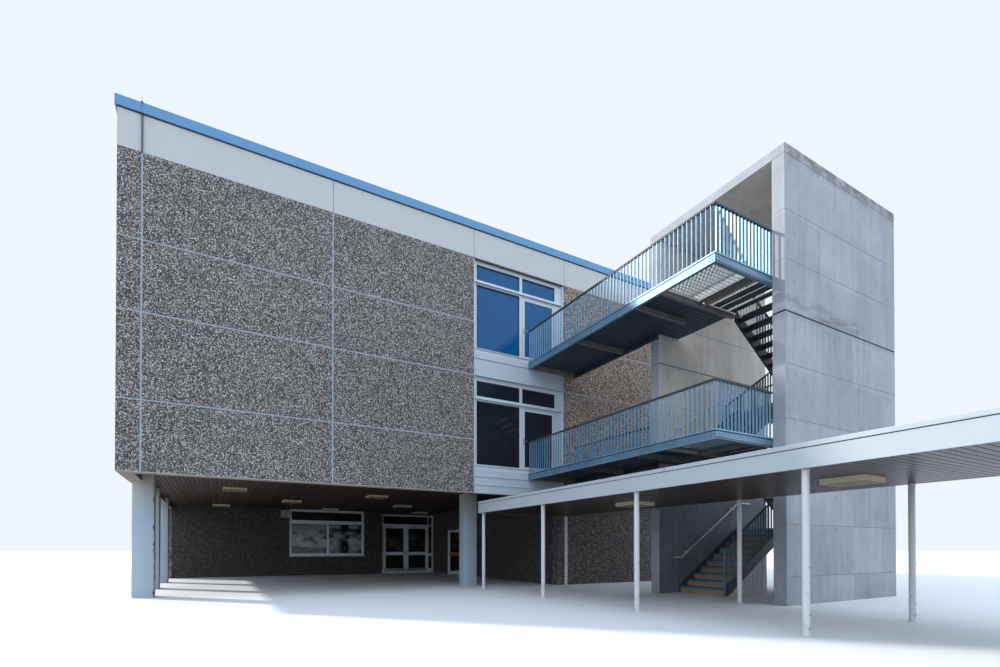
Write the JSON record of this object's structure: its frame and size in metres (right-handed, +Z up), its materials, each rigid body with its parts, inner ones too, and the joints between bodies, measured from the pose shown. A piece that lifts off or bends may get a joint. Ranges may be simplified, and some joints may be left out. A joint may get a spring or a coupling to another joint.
{
  "type": "school building",
  "caption": "School wing of pebble-faced panels over an open pillared hall, with a glazed strip, steel walkways, a concrete stair tower and a covered way.",
  "frame": {"origin": "middle of the outline, at ground level", "axes": "+X along the front to the right, +Y into the block away from the front, +Z up"},
  "size_m": [21.03, 34.825, 11.36],
  "materials": {
    "aggregate": "exposed aggregate, rough",
    "fascia_paint": "painted concrete, matt",
    "coping_blue": "satin",
    "slab_concrete": "cast concrete",
    "brown_boards": "stained boards, matt",
    "pillar_paint": "painted concrete, matt",
    "white_frame": "satin",
    "window_glass": "clear",
    "orange_wood": "varnished",
    "speaker_grey": "matt",
    "lamp_box": "opal",
    "tower_concrete": "fair-faced concrete",
    "galvanised": "galvanised, dull",
    "canopy_white": "satin",
    "screen_grey": "satin"
  },
  "bodies": {
    "building": {"back_wall": "aggregate", "box_lights": "lamp_box", "canopy_fascia": "canopy_white", "canopy_posts": "canopy_white", "canopy_roof": "brown_boards", "door_lintels": "aggregate", "first_floor": "slab_concrete", "front_wall_left": "aggregate", "front_wall_right": "aggregate", "ground_floor": "slab_concrete", "ground_front_wall": "aggregate", "hall_ceiling": "brown_boards", "hall_door_frame": "white_frame", "hall_door_lights": "window_glass", "hall_pillars": "pillar_paint", "hall_side_wall_far": "aggregate", "hall_side_wall_near": "aggregate", "hall_speaker": "speaker_grey", "hall_wall": "aggregate", "hall_window_frame": "white_frame", "hall_window_glass": "window_glass", "left_wall_ground": "aggregate", "left_wall_upper": "aggregate", "lightning_rod": "galvanised", "right_wall": "aggregate", "roof_coping": "coping_blue", "roof_fascia": "fascia_paint", "roof_slab": "slab_concrete", "second_floor": "slab_concrete", "side_door_frame": "white_frame", "stair_flight_1": "galvanised", "stair_flight_2": "galvanised", "stair_flight_3": "galvanised", "stair_flight_4": "galvanised", "stair_landings": "galvanised", "stair_railings": "galvanised", "stair_screen": "screen_grey", "strip_frames": "white_frame", "strip_glass": "window_glass", "strip_spandrels": "white_frame", "tower_back_wall": "tower_concrete", "tower_front_wall": "tower_concrete", "tower_roof": "tower_concrete", "walkway_doors": "white_frame", "walkway_railings": "galvanised", "walkways": "galvanised", "wall_handrails": "galvanised", "window_frames": "white_frame", "window_panes": "window_glass"},
    "hall_leaf_left": {"hall_door_leaf_left": "white_frame", "hall_door_glass_left": "window_glass"},
    "hall_leaf_right": {"hall_door_leaf_right": "white_frame", "hall_door_glass_right": "window_glass"},
    "side_leaf": {"side_door_leaf": "white_frame", "side_door_glass": "window_glass", "side_door_push_bar": "orange_wood"}
  },
  "joints": [
    {"name": "hall_leaf_left_hinge", "type": "hinge", "parent": "building", "child": "hall_leaf_left", "pos_m": [-1.095, 7.3375, 1.2], "axis": [0, 0, -1], "range_deg": [0, 90]},
    {"name": "hall_leaf_right_hinge", "type": "hinge", "parent": "building", "child": "hall_leaf_right", "pos_m": [1.315, 7.3375, 1.2], "axis": [0, 0, 1], "range_deg": [0, 90]},
    {"name": "side_leaf_hinge", "type": "hinge", "parent": "building", "child": "side_leaf", "pos_m": [1.627, 3.4455, 1.1], "axis": [0, 0, -1], "range_deg": [0, 90]}
  ]
}
